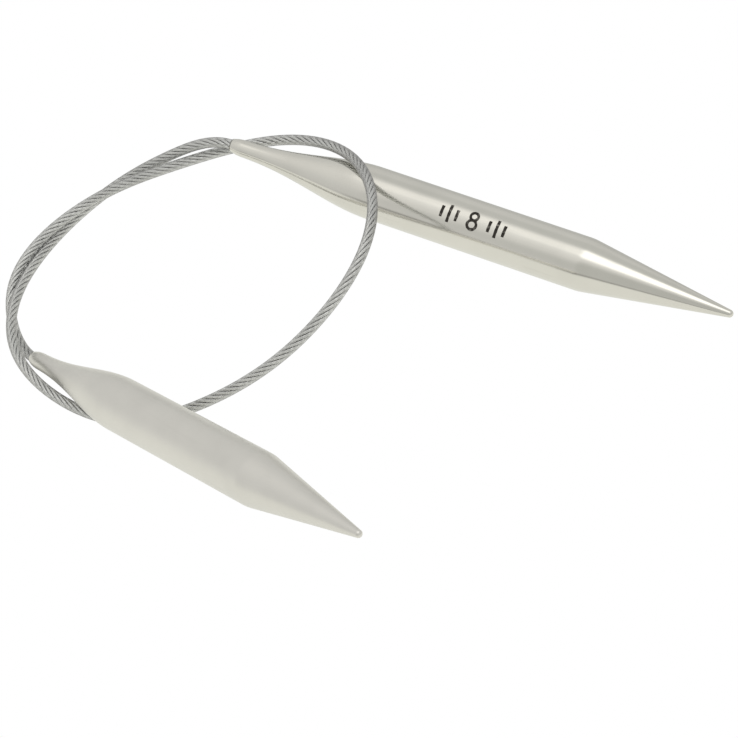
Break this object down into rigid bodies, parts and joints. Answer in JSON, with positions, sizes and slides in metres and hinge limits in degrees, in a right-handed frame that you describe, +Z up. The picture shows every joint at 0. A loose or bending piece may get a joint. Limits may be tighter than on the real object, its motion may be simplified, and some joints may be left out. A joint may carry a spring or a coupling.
{
  "type": "circular knitting needle",
  "caption": "Fixed circular knitting needle: smooth hollow steel tips joined by a clear-coated stranded steel cable, coiled at rest, with tips that swing on its springy ends.",
  "frame": {"origin": "middle of the bottom face of the box round the whole needle, so the needle rests on z = 0", "axes": "+Z up from the surface it rests on, -Y towards the point of tip B, +X towards the point of tip A"},
  "size_m": [0.1012, 0.0954, 0.0186],
  "materials": {
    "tip_steel": "satin polished stainless steel",
    "bush_steel": "dull, out of sight",
    "rope_steel": "bright drawn wire",
    "clear_nylon": "clear, smooth"
  },
  "bodies": {
    "cable_loop": {"cable_coat_01": "clear_nylon", "cable_coat_02": "clear_nylon", "cable_coat_03": "clear_nylon", "cable_coat_04": "clear_nylon", "cable_coat_05": "clear_nylon", "cable_coat_06": "clear_nylon", "cable_coat_07": "clear_nylon", "cable_coat_08": "clear_nylon", "cable_coat_09": "clear_nylon", "cable_coat_10": "clear_nylon", "cable_coat_11": "clear_nylon", "cable_coat_12": "clear_nylon", "cable_coat_13": "clear_nylon", "cable_coat_14": "clear_nylon", "cable_coat_15": "clear_nylon", "cable_coat_16": "clear_nylon", "cable_rope_01": "rope_steel", "cable_rope_02": "rope_steel", "cable_rope_03": "rope_steel", "cable_rope_04": "rope_steel", "cable_rope_05": "rope_steel", "cable_rope_06": "rope_steel", "cable_rope_07": "rope_steel", "cable_rope_08": "rope_steel", "cable_rope_09": "rope_steel", "cable_rope_10": "rope_steel", "cable_rope_11": "rope_steel", "cable_rope_12": "rope_steel", "cable_rope_13": "rope_steel", "cable_rope_14": "rope_steel", "cable_rope_15": "rope_steel", "cable_rope_16": "rope_steel"},
    "tip_a": {"cable_coat_00": "clear_nylon", "cable_rope_00": "rope_steel", "tip_a_crimp_bush": "bush_steel", "tip_a_shell": "tip_steel"},
    "cable_end_b": {"cable_coat_17": "clear_nylon", "cable_rope_17": "rope_steel"},
    "tip_b": {"cable_coat_18": "clear_nylon", "cable_rope_18": "rope_steel", "tip_b_crimp_bush": "bush_steel", "tip_b_shell": "tip_steel"}
  },
  "joints": [
    {"name": "tip_a_swing", "type": "hinge", "parent": "cable_loop", "child": "tip_a", "pos_m": [-0.01322, 0.04061, 0.01477], "axis": [0, 0, -1], "range_deg": [0, 28]},
    {"name": "tip_b_raise", "type": "hinge", "parent": "cable_loop", "child": "cable_end_b", "pos_m": [-0.04956, 0.02848, 0.00199], "axis": [-0.8044, -0.3361, 0.4898], "range_deg": [0, 30]},
    {"name": "tip_b_swing", "type": "hinge", "parent": "cable_end_b", "child": "tip_b", "pos_m": [-0.04902, 0.02516, 0.00152], "axis": [-0.4577, -0.0479, 0.8878], "range_deg": [0, 40]}
  ]
}
